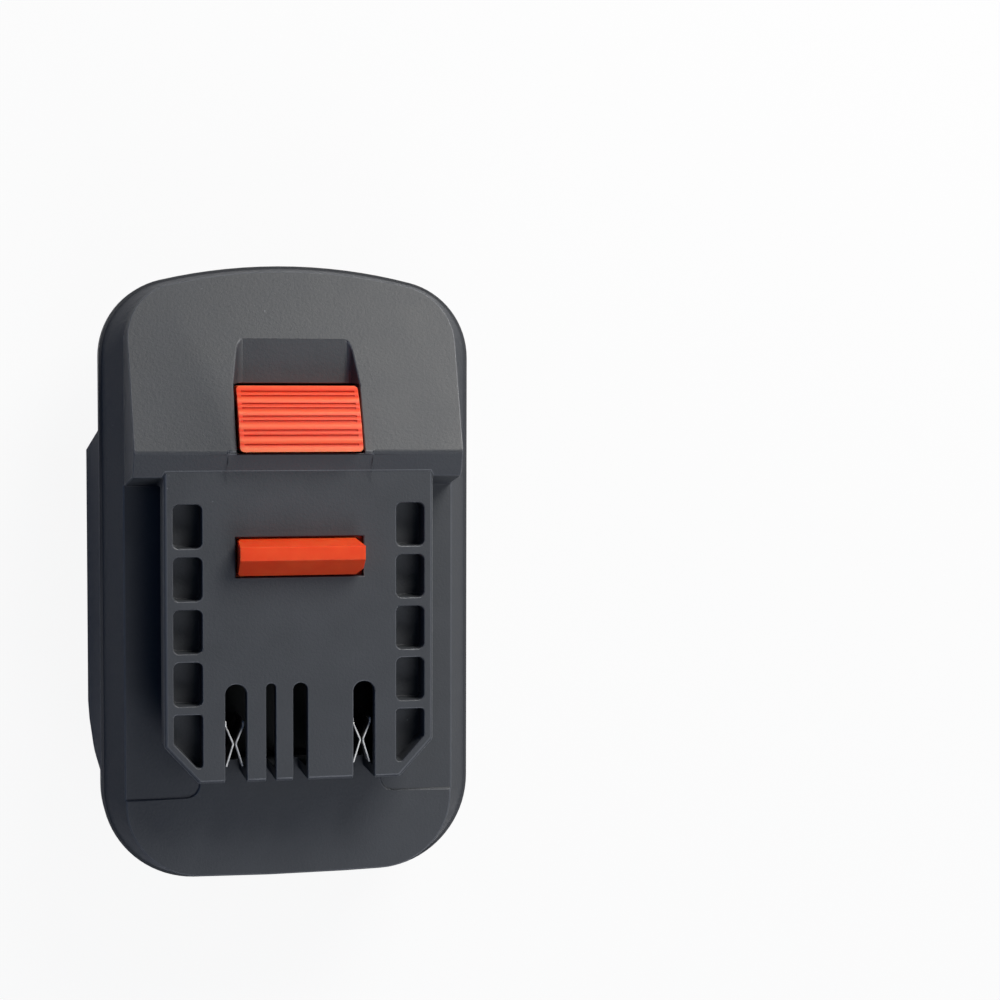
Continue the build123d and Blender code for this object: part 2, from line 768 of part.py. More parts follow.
# Lower housing: the battery's side
with BuildPart() as lower_housing:
    with BuildSketch():
        add(skirt_outline())
    extrude(amount=pocket_depth)
    with BuildSketch(Plane.XZ):
        for side in (-1, 1):
            with BuildLine():
                Polyline(
                    (side * rim_half_width, pocket_depth),
                    (side * wing_half_width, shoulder_height),
                    (side * (wing_half_width - wing_draft), 0),
                    (side * (wing_half_width + overrun), 0),
                    (side * (wing_half_width + overrun), pocket_depth),
                    close=True,
                )
            make_face()
    extrude(amount=body_length, both=True, mode=Mode.SUBTRACT)
    add(belly.part)
    with BuildSketch(Plane.XY.offset(pocket_depth)):
        add(even_inset(0))
    extrude(amount=rim_band)
    # battery pocket, its side grooves and the lips below them
    with BuildSketch(Plane.XY.offset(lip_thickness)):
        reach = rear_end_y - end_wall_y
        with Locations((0, end_wall_y + reach / 2)):
            Rectangle(2 * groove_half_width, reach)
    extrude(amount=pocket_depth - lip_thickness, mode=Mode.SUBTRACT)
    with BuildSketch(Plane.XY) as mouth:
        with BuildLine():
            rear = rear_end_y
            Polyline(
                (-lip_half_width, end_wall_y),
                (lip_half_width, end_wall_y),
                (lip_half_width, lip_rear_y),
                (groove_half_width, lip_rear_y),
                (groove_half_width, rear),
                (-groove_half_width, rear),
                (-groove_half_width, lip_rear_y),
                (-lip_half_width, lip_rear_y),
                close=True,
            )
        make_face()
        corners = mouth.vertices().filter_by(lambda v: abs(v.Y - lip_rear_y) < overrun)
        inner = corners.filter_by(lambda v: abs(v.X) < lip_half_width + lip_corner / 2)
        fillet(inner, radius=lip_corner)
    extrude(amount=lip_thickness, mode=Mode.SUBTRACT)
    with BuildSketch(Plane.YZ) as ramp:
        with BuildLine():
            lean = ramp_run / pocket_depth
            Polyline(
                (ramp_foot_y - overrun * lean, -overrun),
                (ramp_top_y, pocket_depth),
                (rear_end_y, pocket_depth),
                (rear_end_y, -overrun),
                close=True,
            )
        make_face()
        root = ramp.vertices().group_by(Axis.Z)[-1].sort_by(Axis.Y)[0]
        fillet(root, radius=ramp_fillet)
    extrude(amount=wing_half_width + overrun, both=True, mode=Mode.SUBTRACT)
    # hollow above the floor and behind the end wall
    with BuildSketch(Plane.XY.offset(floor_top)):
        add(even_inset(rim_wall))
    extrude(amount=rim_top - floor_top, mode=Mode.SUBTRACT)
    with BuildSketch(Plane.XY.offset(shelf_top)):
        add(skirt_outline())
        offset(amount=-wall, mode=Mode.REPLACE)
        with Locations((0, end_wall_back_y - body_length / 2)):
            Rectangle(2 * wing_half_width, body_length, mode=Mode.INTERSECT)
        with Locations((boss_x, boss_y), (-boss_x, boss_y)):
            Circle(boss_radius, mode=Mode.SUBTRACT)
    extrude(amount=floor_top - shelf_top, mode=Mode.SUBTRACT)
    # shallow recess in front of the pocket
    with BuildSketch(Plane.XY):
        with BuildLine():
            Polyline(
                (-shelf_front_x, shelf_front_side_y),
                (-shelf_mouth_x, shelf_mouth_y),
                (-lip_half_width, end_wall_back_y),
                (-lip_half_width, end_wall_y),
                (lip_half_width, end_wall_y),
                (lip_half_width, end_wall_back_y),
                (shelf_mouth_x, shelf_mouth_y),
                (shelf_front_x, shelf_front_side_y),
            )
            ThreePointArc(
                (shelf_front_x, shelf_front_side_y),
                (0, shelf_front_y),
                (-shelf_front_x, shelf_front_side_y),
            )
        make_face()
    extrude(amount=shelf_depth, mode=Mode.SUBTRACT)
    # blind grooves in the pocket's ceiling, with their roofs above the floor
    groove_x = lip_half_width + core_slot_gap
    groove_width_x = groove_half_width - groove_x
    groove_top = pocket_depth + core_slot_depth
    groove_middle_y = (end_wall_y + core_slot_rear_y) / 2
    groove_reach = core_slot_rear_y - end_wall_y
    with BuildSketch(Plane.XY.offset(floor_top)):
        with Locations((groove_x + groove_width_x / 2, groove_middle_y)):
            roof = groove_width_x + 2 * core_slot_wall
            Rectangle(roof, groove_reach + 2 * core_slot_wall)
        mirror(about=Plane.YZ)
    extrude(amount=groove_top + core_slot_wall - floor_top)
    with BuildSketch(Plane.XY.offset(pocket_depth)):
        with Locations((groove_x + groove_width_x / 2, groove_middle_y)):
            Rectangle(groove_width_x, groove_reach)
        mirror(about=Plane.YZ)
    extrude(amount=core_slot_depth, mode=Mode.SUBTRACT)
    # box for the battery's catch, with a sloped lead-in
    with BuildSketch(Plane.YZ):
        with BuildLine():
            flat_y = catch_rear_y - catch_floor_length
            Polyline(
                (flat_y - catch_depth, pocket_depth),
                (flat_y, catch_floor_height),
                (catch_rear_y, catch_floor_height),
                (catch_rear_y, pocket_depth),
                close=True,
            )
        make_face()
        offset(amount=catch_wall, kind=Kind.INTERSECTION)
        with Locations((catch_rear_y, floor_top + catch_depth)):
            Rectangle(body_length, 2 * catch_depth, mode=Mode.INTERSECT)
    extrude(amount=catch_half_width + catch_wall, both=True)
    with BuildSketch(Plane.YZ):
        with BuildLine():
            Polyline(
                (flat_y - catch_depth, pocket_depth),
                (flat_y, catch_floor_height),
                (catch_rear_y, catch_floor_height),
                (catch_rear_y, pocket_depth),
                close=True,
            )
        make_face()
    extrude(amount=catch_half_width, both=True, mode=Mode.SUBTRACT)
    with BuildSketch(Plane.XY.offset(spring_seat)):
        with Locations((spring_x, spring_y), (-spring_x, spring_y)):
            Circle(spring_mean_radius - spring_wire / 2 - post_gap)
    extrude(amount=post_height)
    # pillars, counterbores and clearance holes of the housing screws
    with BuildSketch(Plane.XY.offset(floor_top)):
        with Locations((rear_screw_x, rear_screw_y), (-rear_screw_x, rear_screw_y)):
            Circle(pillar_radius)
    extrude(amount=rear_seat + seat_wall - floor_top)
    for x, y, seat, pillar_top in screw_places():
        with BuildSketch(Plane.XY):
            with Locations((x, y)):
                Circle(counterbore_radius)
        extrude(amount=seat, mode=Mode.SUBTRACT)
        with BuildSketch(Plane.XY.offset(seat)):
            with Locations((x, y)):
                Circle(screw_clearance_radius)
        extrude(amount=pillar_top - seat, mode=Mode.SUBTRACT)
    # slots for the battery blades, and posts for their carrier
    with BuildSketch(Plane.XZ.offset(-end_wall_back_y)):
        for side in (-1, 1):
            with Locations((side * blade_x, blade_bottom + blade_height / 2)):
                Rectangle(blade_thickness + 2 * blade_slot_gap, blade_height + 2 * blade_slot_gap)
    extrude(amount=-wall, mode=Mode.SUBTRACT)
    with BuildSketch(Plane.XY.offset(shelf_top)):
        with Locations((carrier_screw_x, carrier_screw_y), (-carrier_screw_x, carrier_screw_y)):
            Circle(carrier_post_radius)
    extrude(amount=carrier_post_height)
    with BuildSketch(Plane.XY.offset(shelf_top + carrier_post_height)):
        with Locations((carrier_screw_x, carrier_screw_y), (-carrier_screw_x, carrier_screw_y)):
            Circle(board_screw_shank)
    extrude(amount=-carrier_post_height - wall / 2, mode=Mode.SUBTRACT)

# Circuit board, hung from two posts of the upper housing
with BuildPart() as circuit_board:
    with BuildSketch(Plane.XY.offset(board_height)) as blank:
        with Locations((0, (board_front_y + board_rear_y) / 2)):
            Rectangle(2 * board_half_width, board_rear_y - board_front_y)
        fillet(blank.vertices(), radius=board_corner)
        with Locations((board_post_x, board_post_y), (-board_post_x, board_post_y)):
            Circle(board_hole_radius, mode=Mode.SUBTRACT)
    extrude(amount=board_thickness)


def fork_contact(side):
    # one tulip contact: base plate, two legs and two pairs of sprung leaves
    x = side * power_slot_x
    leg_y = contact_rear_y + contact_leg_length
    lower_leaf = contact_top - 2 * contact_leaf_height - contact_leaf_gap
    with BuildPart() as contact:
        with BuildSketch(Plane.XY.offset(board_top)):
            with Locations((x, leg_y - contact_base_length / 2)):
                Rectangle(2 * contact_rear_half + contact_sheet, contact_base_length)
        extrude(amount=contact_sheet)
        for mirrored in (-1, 1):
            with BuildSketch(Plane.XY.offset(board_top)):
                with Locations((x + mirrored * contact_rear_half, leg_y - contact_leg_length / 2)):
                    Rectangle(contact_sheet, contact_leg_length)
            extrude(amount=contact_top - board_top)
            for foot in (lower_leaf, contact_top - contact_leaf_height):
                with BuildSketch(Plane.XY.offset(foot)):
                    with BuildLine():
                        leaf = FilletPolyline(
                            (x + mirrored * contact_rear_half, contact_rear_y),
                            (x + mirrored * contact_pinch, contact_pinch_y),
                            (x + mirrored * contact_mouth_half, contact_mouth_y),
                            radius=contact_bend,
                        )
                    trace(line_width=contact_sheet)
                extrude(amount=contact_leaf_height)
    return contact.part


contacts = {"positive_contact": fork_contact(1), "negative_contact": fork_contact(-1)}

# Carrier that holds the battery blades behind the end wall
with BuildPart() as blade_carrier:
    with BuildSketch(Plane.XY.offset(shelf_top)):
        with Locations((0, carrier_rear_y - carrier_length / 2)):
            Rectangle(2 * carrier_half_width, carrier_length)
    extrude(amount=carrier_height)
    with BuildSketch(Plane.XY.offset(shelf_top + carrier_post_height)):
        with Locations((0, carrier_screw_y)):
            SlotCenterToCenter(2 * carrier_screw_x, 2 * carrier_post_radius)
        with Locations((0, carrier_screw_y + carrier_ear_reach / 2)):
            Rectangle(2 * (carrier_screw_x + carrier_post_radius), carrier_ear_reach)
        with Locations((carrier_screw_x, carrier_screw_y), (-carrier_screw_x, carrier_screw_y)):
            Circle(board_hole_radius, mode=Mode.SUBTRACT)
    extrude(amount=carrier_ear_height)
    with BuildSketch(Plane.XZ.offset(-carrier_rear_y)):
        for side in (-1, 1):
            with Locations((side * blade_x, blade_bottom + blade_height / 2)):
                Rectangle(blade_thickness, blade_height)
    extrude(amount=carrier_length, mode=Mode.SUBTRACT)


def battery_blade(side):
    # one flat blade, pointed towards the battery
    with BuildPart() as blade:
        with BuildSketch(Plane.YZ.offset(side * blade_x)) as flat:
            middle_y = (blade_tip_y + blade_tail_y) / 2
            with Locations((middle_y, blade_bottom + blade_height / 2)):
                Rectangle(blade_tip_y - blade_tail_y, blade_height)
            chamfer(flat.vertices().group_by(Axis.Y)[-1], length=blade_point)
        extrude(amount=blade_thickness / 2, both=True)
    return blade.part


def blade_lead(side):
    # one insulated wire from a blade's tail up to the board
    x = side * blade_x
    with BuildPart() as lead:
        with BuildLine() as route:
            FilletPolyline(
                (x, lead_tail_y, blade_bottom + blade_height),
                (x, lead_tail_y, lead_height),
                (x, lead_board_y, lead_height),
                (x, lead_board_y, board_height),
                radius=lead_bend,
            )
        with BuildSketch(Plane(origin=route.line @ 0, z_dir=route.line % 0)):
            RegularPolygon(lead_radius, side_count=lead_sides)
        sweep()
    return lead.part


blades = {"positive_blade": battery_blade(1), "negative_blade": battery_blade(-1)}
leads = {"positive_lead": blade_lead(1), "negative_lead": blade_lead(-1)}

# Screws, each group in one node
with BuildPart() as housing_screws:
    with Locations(*[(x, y, seat) for x, y, seat, pillar_top in screw_places()]):
        add(pan_screw(screw_head_radius, screw_head_height, screw_shank_radius, screw_length))

small_screw = pan_screw(board_screw_head, board_screw_head_height, board_screw_shank, board_screw_length)
with BuildPart() as board_screws:
    with Locations((board_post_x, board_post_y, board_height), (-board_post_x, board_post_y, board_height)):
        add(small_screw)

with BuildPart() as carrier_screws:
    ear_top = shelf_top + carrier_post_height + carrier_ear_height
    for side in (-1, 1):
        with Locations(Location((side * carrier_screw_x, carrier_screw_y, ear_top), (180, 0, 0))):
            add(small_screw)


def under_board(size, place):
    # a plain body soldered to the board's underside
    width, length, height = size
    with BuildPart() as body:
        with BuildSketch(Plane.XY.offset(board_height)):
            with Locations(place):
                Rectangle(width, length)
        extrude(amount=-height)
    return body.part


with BuildPart() as fuse:
    add(under_board(fuse_size, on_board(fuse_place_shares)))
    fillet(fuse.edges().filter_by(Axis.Y), radius=fuse_size[2] * fuse_edge_share)

with BuildPart() as power_transistor:
    transistor_x, transistor_y = on_board(transistor_place_shares)
    add(under_board(transistor_size, (transistor_x, transistor_y)))
    chamfer(power_transistor.edges().group_by(Axis.Z)[0], length=transistor_tab[2])
    tab_y = transistor_y + (transistor_size[1] + transistor_tab[1]) / 2
    add(under_board(transistor_tab, (transistor_x, tab_y)))

with BuildPart() as control_chip:
    chip_x, chip_y = on_board(chip_place_shares)
    add(under_board(chip_size, (chip_x, chip_y)))
    for row in range(chip_legs):
        leg_y = chip_y + (row - (chip_legs - 1) / 2) * chip_leg_pitch
        leg_span = chip_size[0] + 2 * chip_leg_reach
        add(under_board((leg_span, chip_leg_width, chip_leg_height), (chip_x, leg_y)))

with BuildPart() as board_capacitor:
    capacitor_place = on_board(capacitor_place_shares)
    add(under_board((2 * capacitor_radius, 2 * capacitor_radius, capacitor_base), capacitor_place))
    with BuildSketch(Plane.XY.offset(board_height)):
        with Locations(capacitor_place):
            Circle(capacitor_radius)
    extrude(amount=-capacitor_height)
    chamfer(board_capacitor.edges().group_by(Axis.Z)[0], length=capacitor_edge)

with BuildPart() as board_resistors:
    for shares in resistor_place_shares:
        add(under_board(resistor_size, on_board(shares)))

pieces = {
    "upper_housing": upper_housing.part,
    "lower_housing": lower_housing.part,
    "release_latch": release_latch.part,
    "circuit_board": circuit_board.part,
    "blade_carrier": blade_carrier.part,
    "housing_screws": housing_screws.part,
    "board_screws": board_screws.part,
    "carrier_screws": carrier_screws.part,
    "fuse": fuse.part,
    "power_transistor": power_transistor.part,
    "control_chip": control_chip.part,
    "board_capacitor": board_capacitor.part,
    "board_resistors": board_resistors.part,
    **latch_springs,
    **contacts,
    **blades,
    **leads,
}
for name, piece in pieces.items():
    piece.label = name
    export_step(piece, f"parts/{name}.step")
    print(name, len(piece.solids()), piece.is_valid, round(piece.volume, 1))
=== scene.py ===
import math

import bmesh
import bpy
from mathutils import Matrix, Vector
from mathutils.bvhtree import BVHTree


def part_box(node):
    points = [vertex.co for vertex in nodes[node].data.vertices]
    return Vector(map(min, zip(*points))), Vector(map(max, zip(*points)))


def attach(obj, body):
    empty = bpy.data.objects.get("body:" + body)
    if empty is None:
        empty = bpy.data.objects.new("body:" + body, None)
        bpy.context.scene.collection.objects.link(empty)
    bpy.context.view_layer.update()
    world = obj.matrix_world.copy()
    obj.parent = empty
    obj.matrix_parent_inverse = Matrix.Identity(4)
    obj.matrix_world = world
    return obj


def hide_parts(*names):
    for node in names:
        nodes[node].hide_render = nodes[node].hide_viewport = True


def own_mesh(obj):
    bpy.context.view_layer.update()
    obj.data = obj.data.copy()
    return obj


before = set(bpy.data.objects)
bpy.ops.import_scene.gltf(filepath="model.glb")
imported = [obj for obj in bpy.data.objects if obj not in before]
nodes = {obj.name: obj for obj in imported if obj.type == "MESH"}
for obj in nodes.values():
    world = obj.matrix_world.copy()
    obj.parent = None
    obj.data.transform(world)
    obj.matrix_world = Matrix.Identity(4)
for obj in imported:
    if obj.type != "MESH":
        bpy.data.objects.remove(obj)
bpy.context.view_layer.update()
mm = 0.001
print("frame loaded:", len(nodes), "nodes")


# Small helpers for colours, nodes, objects and meshes

lowColour, highColour, mixedColour = 6, 7, 2        # a Mix node's colour sockets: two inputs, one output


def srgb(code):
    channels = [int(code[i:i + 2], 16) / 255 for i in (1, 3, 5)]
    linear = [c / 12.92 if c <= 0.04045 else ((c + 0.055) / 1.055) ** 2.4 for c in channels]
    return (*linear, 1.0)


def grey(tone):
    return (tone, tone, tone, 1.0)


def addNode(tree, kind, feeds=None, stops=(), **settings):
    # one node: each feed is another node's output or a plain value, stops are a ramp's places and colours
    made = tree.nodes.new(kind)
    for name, value in settings.items():
        setattr(made, name, value)
    for socket, feed in (feeds or {}).items():
        if isinstance(feed, bpy.types.NodeSocket):
            tree.links.new(feed, made.inputs[socket])
        else:
            made.inputs[socket].default_value = feed
    if stops:
        elements = made.color_ramp.elements
        while len(elements) < len(stops):
            elements.new(0.5)
        for element, (position, colour) in zip(elements, stops):
            element.position = position
            element.color = colour
    return made


def startMaterial(name):
    material = bpy.data.materials.new(name)
    material.use_nodes = True
    material.node_tree.nodes.clear()
    return material, material.node_tree


def addObject(name, data):
    made = bpy.data.objects.new(name, data)
    bpy.context.scene.collection.objects.link(made)
    return made


def meshFrom(form, name):
    mesh = bpy.data.meshes.new(name)
    form.to_mesh(mesh)
    form.free()
    return mesh


def shapedMesh(thing):
    # what an object's modifiers make of its mesh
    graph = bpy.context.evaluated_depsgraph_get()
    return bpy.data.meshes.new_from_object(thing.evaluated_get(graph))


def closeRings(form, rings):
    # a tube through rings with the same number of corners, closed at both ends
    count = len(rings[0])
    for one, two in zip(rings, rings[1:]):
        for i in range(count):
            after = (i + 1) % count
            form.faces.new((one[i], one[after], two[after], two[i]))
    form.faces.new(rings[0])
    form.faces.new(list(reversed(rings[-1])))


# Housing material: glass-filled ABS

housingAbs = {
    "ior": 1.54,
    "grain": 0.55 * mm,              # spark-eroded grain, drawn about twice as coarse so that it shows
    "grainDepth": 0.07 * mm,
    "mottle": 9 * mm,
    "smoothest": 0.48,               # the skin's roughness changes with the mottle
    "roughest": 0.62,
    "polish": -0.14,                 # and is this much lower on the rounded outward edges, which also carry the painted highlight
    "lintCell": 2.6 * mm,            # at most one grain of lint in a cell this wide
    "lintGrain": (0.03, 0.07),       # a grain's soft edge, in shares of its cell
    "lintPatch": 10.4 * mm,          # lint shows only in patches, where a coarser noise is high
    "lintPatchRange": (0.58, 0.68),
    "lintColour": "#A9ADB2",
}


def mouldedAbs(name, deep, pale, edgeHighlight, lint):
    # glass-filled ABS from a spark-eroded mould: matte, finely pebbled, with a faint sheen and lint
    look = housingAbs
    material, tree = startMaterial(name)
    place = addNode(tree, "ShaderNodeTexCoord").outputs["Object"]
    grain = addNode(tree, "ShaderNodeTexNoise",
                    {"Vector": place, "Scale": 1 / look["grain"], "Detail": 3.0, "Roughness": 0.6})
    mottle = addNode(tree, "ShaderNodeTexNoise",
                     {"Vector": place, "Scale": 1 / look["mottle"], "Detail": 5.0, "Roughness": 0.6})
    body = addNode(tree, "ShaderNodeMix", data_type="RGBA",
                   feeds={"Factor": mottle.outputs["Fac"], lowColour: srgb(deep), highColour: srgb(pale)})
    # a few grains of lint, only in patches
    cells = addNode(tree, "ShaderNodeTexVoronoi", feature="F1",
                    feeds={"Vector": place, "Scale": 1 / look["lintCell"], "Randomness": 1.0})
    inner, outer = look["lintGrain"]
    dots = addNode(tree, "ShaderNodeValToRGB", {"Fac": cells.outputs["Distance"]},
                   stops=[(inner, grey(1)), (outer, grey(0))])
    patches = addNode(tree, "ShaderNodeTexNoise",
                      {"Vector": place, "Scale": 1 / look["lintPatch"], "Detail": 2.0})
    bare, full = look["lintPatchRange"]
    where = addNode(tree, "ShaderNodeValToRGB", {"Fac": patches.outputs["Fac"]},
                    stops=[(bare, grey(0)), (full, grey(lint))])
    share = addNode(tree, "ShaderNodeMath", operation="MULTIPLY",
                    feeds={0: dots.outputs["Color"], 1: where.outputs["Color"]})
    skin = addNode(tree, "ShaderNodeMix", data_type="RGBA",
                   feeds={"Factor": share.outputs["Value"], lowColour: body.outputs[mixedColour],
                          highColour: srgb(look["lintColour"])})
    # painted highlight on the rounded outward edges: a little paler in colour, and smoother too
    edge = addNode(tree, "ShaderNodeAttribute", attribute_name="edge").outputs["Fac"]
    paintedLight = addNode(tree, "ShaderNodeMix", data_type="RGBA",
                   feeds={"Factor": edge, lowColour: skin.outputs[mixedColour], highColour: srgb(edgeHighlight)})
    gloss = addNode(tree, "ShaderNodeMapRange",
                    {"Value": mottle.outputs["Fac"], "To Min": look["smoothest"], "To Max": look["roughest"]})
    polish = addNode(tree, "ShaderNodeMath", operation="MULTIPLY_ADD",
                     feeds={0: edge, 1: look["polish"], 2: gloss.outputs["Result"]})
    bump = addNode(tree, "ShaderNodeBump",
                   {"Height": grain.outputs["Fac"], "Strength": 0.7, "Distance": look["grainDepth"]})
    shader = addNode(tree, "ShaderNodeBsdfPrincipled",
                     {"Base Color": paintedLight.outputs[mixedColour], "Roughness": polish.outputs["Value"],
                      "IOR": look["ior"], "Normal": bump.outputs["Normal"]})
    addNode(tree, "ShaderNodeOutputMaterial", {"Surface": shader.outputs["BSDF"]})
    return material


# Latch material: acetal, with the thumb face's ridges in its bump and painted into its colour as highlight
# and shade

thumbRidges = {
    "grooves": (0.1, 0.175, 0.3, 0.37, 0.495, 0.565, 0.7, 0.775, 0.9),      # shares of the face's length
    "rear": (36.2 * mm, 40.3 * mm),              # the thumb face's two ends, each y and z
    "front": (24.05 * mm, 47.3 * mm),
    "start": 0.7,                                # brightness before the first groove
    "narrow": 0.45,                              # brightness of a land shorter than narrowShare
    "narrowShare": 0.09,
    "dome": 0.16 * mm,
    # painted shade in the grooves and painted highlight on the lands
    "low": "#EA3410",
    "high": "#FF744A",
    "comesIn": (0.2 * mm, 0.1 * mm),             # the ridges start between these, ahead of the front end
}
latchAcetal = {
    "ior": 1.48,
    "roughness": 0.40,
    "specular": 0.3,
    "subsurface": 0.5,
    "bleed": (1.2 * mm, 0.35 * mm, 0.2 * mm),    # how far red, green and blue travel inside
    "bleedScale": 1.6,
    "flow": 6 * mm,                              # slow drift from deep to pale
    "flowRange": (0.35, 0.65),
    "deep": "#EE481C",
    "pale": "#F65424",
    # painted shade colour for closed-in parts of the latch, such as the thumb grooves
    "grooveShade": "#C42C0A",
    "grooveShadeReach": 1.0 * mm,
    "grooveShadeRange": (0.35, 0.90),                  # how open the surface is: full painted shade to none
    "ripple": 0.8 * mm,
    "rippleDepth": 0.02 * mm,
}


def ridgeStops():
    # the lands' profile, also used as painted highlight and shade: dark in each groove, bright on the wide
    # lands and duller on the narrow ones between a pair
    cuts = thumbRidges["grooves"]
    stops = [(0.0, grey(thumbRidges["start"]))]
    for cut, after in zip(cuts, cuts[1:] + (1.0,)):
        crown = thumbRidges["narrow"] if after - cut < thumbRidges["narrowShare"] else 1.0
        stops += [(cut, grey(0)), ((cut + after) / 2, grey(crown))]
    return stops


def mouldedAcetal():
    # polished acetal: bright, satin, light bleeding a little into its edges
    look = latchAcetal
    material, tree = startMaterial("mouldedAcetalRed")
    place = addNode(tree, "ShaderNodeTexCoord").outputs["Object"]
    flow = addNode(tree, "ShaderNodeTexNoise", {"Vector": place, "Scale": 1 / look["flow"], "Detail": 3.0})
    tint = addNode(tree, "ShaderNodeValToRGB", {"Fac": flow.outputs["Fac"]},
                   stops=list(zip(look["flowRange"], (srgb(look["deep"]), srgb(look["pale"])))))
    # the thumb face's lands are domed, with painted highlight and shade on them: paler on their crowns,
    # deeper red towards the grooves
    rear, front = Vector((0, *thumbRidges["rear"])), Vector((0, *thumbRidges["front"]))
    way = (front - rear).normalized()
    along = addNode(tree, "ShaderNodeVectorMath", {0: place, 1: way}, operation="DOT_PRODUCT")
    share = addNode(tree, "ShaderNodeMapRange",
                    {"Value": along.outputs["Value"], "From Min": way.dot(rear), "From Max": way.dot(front)})
    lands = addNode(tree, "ShaderNodeValToRGB", {"Fac": share.outputs["Result"]}, stops=ridgeStops())
    depth = addNode(tree, "ShaderNodeSeparateXYZ", {"Vector": place}).outputs["Y"]
    bare, full = (front.y - gap for gap in thumbRidges["comesIn"])
    face = addNode(tree, "ShaderNodeMapRange", {"Value": depth, "From Min": bare, "From Max": full})
    ridgeHighlightAndShade = addNode(tree, "ShaderNodeMix", data_type="RGBA",
                     feeds={"Factor": lands.outputs["Color"], lowColour: srgb(thumbRidges["low"]),
                            highColour: srgb(thumbRidges["high"])})
    skin = addNode(tree, "ShaderNodeMix", data_type="RGBA",
                   feeds={"Factor": face.outputs["Result"], lowColour: tint.outputs["Color"],
                          highColour: ridgeHighlightAndShade.outputs[mixedColour]})
    # painted shade in the thumb grooves: darker red where the surface is closed in
    closed = addNode(tree, "ShaderNodeAmbientOcclusion", {"Distance": look["grooveShadeReach"]},
                     only_local=True, samples=12)
    full, none = look["grooveShadeRange"]
    unshaded = addNode(tree, "ShaderNodeMapRange",
                    {"Value": closed.outputs["AO"], "From Min": full, "From Max": none})
    paintedLight = addNode(tree, "ShaderNodeMix", data_type="RGBA",
                   feeds={"Factor": unshaded.outputs["Result"], lowColour: srgb(look["grooveShade"]),
                          highColour: skin.outputs[mixedColour]})
    dome = addNode(tree, "ShaderNodeMath", operation="MULTIPLY",
                   feeds={0: lands.outputs["Color"], 1: face.outputs["Result"]})
    crown = addNode(tree, "ShaderNodeBump",
                    {"Height": dome.outputs["Value"], "Strength": 0.8, "Distance": thumbRidges["dome"]})
    ripple = addNode(tree, "ShaderNodeTexNoise",
                     {"Vector": place, "Scale": 1 / look["ripple"], "Detail": 2.0})
    bump = addNode(tree, "ShaderNodeBump",
                   {"Height": ripple.outputs["Fac"], "Normal": crown.outputs["Normal"],
                    "Strength": 0.35, "Distance": look["rippleDepth"]})
    shader = addNode(tree, "ShaderNodeBsdfPrincipled",
                     {"Base Color": paintedLight.outputs[mixedColour], "Roughness": look["roughness"],
                      "IOR": look["ior"], "Specular IOR Level": look["specular"],
                      "Subsurface Weight": look["subsurface"], "Subsurface Radius": look["bleed"],
                      "Subsurface Scale": look["bleedScale"], "Normal": bump.outputs["Normal"]})
    addNode(tree, "ShaderNodeOutputMaterial", {"Surface": shader.outputs["BSDF"]})
    return material


# Metals: contacts, blades, springs and screws

metalSkin = {
    "stretch": (1.0, 0.08, 1.0),       # rolling lines run along Y
    "smoother": 0.08,
    "rougher": 0.12,
    "depth": 0.01 * mm,
}
slotShadeStrip = {                         # the contacts: painted shade below, bright above, and a fade between
    "shadedTone": "#1C1B19",
    "low": 36.5 * mm,
    "high": 40.5 * mm,
}


def stampedMetal(name, colour, roughness, streak, slotShade=None):
    # rolled or drawn metal: bright, with fine lines along the adapter's length
    material, tree = startMaterial(name)
    place = addNode(tree, "ShaderNodeTexCoord").outputs["Object"]
    tone = srgb(colour)
    if slotShade:
        # painted shade: the strip darkens below these heights, deeper in the slot
        height = addNode(tree, "ShaderNodeSeparateXYZ", {"Vector": place}).outputs["Z"]
        level = addNode(tree, "ShaderNodeMapRange",
                        {"Value": height, "From Min": slotShade["low"], "From Max": slotShade["high"]})
        tone = addNode(tree, "ShaderNodeMix", data_type="RGBA",
                       feeds={"Factor": level.outputs["Result"], lowColour: srgb(slotShade["shadedTone"]),
                              highColour: srgb(colour)}).outputs[mixedColour]
    lines = addNode(tree, "ShaderNodeMapping", {"Vector": place, "Scale": metalSkin["stretch"]})
    rolled = addNode(tree, "ShaderNodeTexNoise",
                     {"Vector": lines.outputs["Vector"], "Scale": 1 / streak, "Detail": 4.0})
    gloss = addNode(tree, "ShaderNodeMapRange",
                    {"Value": rolled.outputs["Fac"], "To Min": roughness - metalSkin["smoother"],
                     "To Max": roughness + metalSkin["rougher"]})
    bump = addNode(tree, "ShaderNodeBump",
                   {"Height": rolled.outputs["Fac"], "Strength": 0.3, "Distance": metalSkin["depth"]})
    shader = addNode(tree, "ShaderNodeBsdfPrincipled",
                     {"Base Color": tone, "Metallic": 1.0, "Roughness": gloss.outputs["Result"],
                      "Normal": bump.outputs["Normal"]})
    addNode(tree, "ShaderNodeOutputMaterial", {"Surface": shader.outputs["BSDF"]})
    return material


# Board, carrier, leads and electrical parts

smallSkin = {"ior": 1.5, "toneRange": (0.3, 0.7), "depth": 0.02 * mm}


def smallPartFinish(name, low, high, roughness, grain, metallic=0.0):
    # the plain moulded, fired or dipped skins of small electrical parts, with a fine uneven tone
    material, tree = startMaterial(name)
    place = addNode(tree, "ShaderNodeTexCoord").outputs["Object"]
    tone = addNode(tree, "ShaderNodeTexNoise", {"Vector": place, "Scale": 1 / grain, "Detail": 3.0})
    tint = addNode(tree, "ShaderNodeValToRGB", {"Fac": tone.outputs["Fac"]},
                   stops=list(zip(smallSkin["toneRange"], (srgb(low), srgb(high)))))
    bump = addNode(tree, "ShaderNodeBump",
                   {"Height": tone.outputs["Fac"], "Strength": 0.25, "Distance": smallSkin["depth"]})
    shader = addNode(tree, "ShaderNodeBsdfPrincipled",
                     {"Base Color": tint.outputs["Color"], "Metallic": metallic, "Roughness": roughness,
                      "IOR": smallSkin["ior"], "Normal": bump.outputs["Normal"]})
    addNode(tree, "ShaderNodeOutputMaterial", {"Surface": shader.outputs["BSDF"]})
    return material


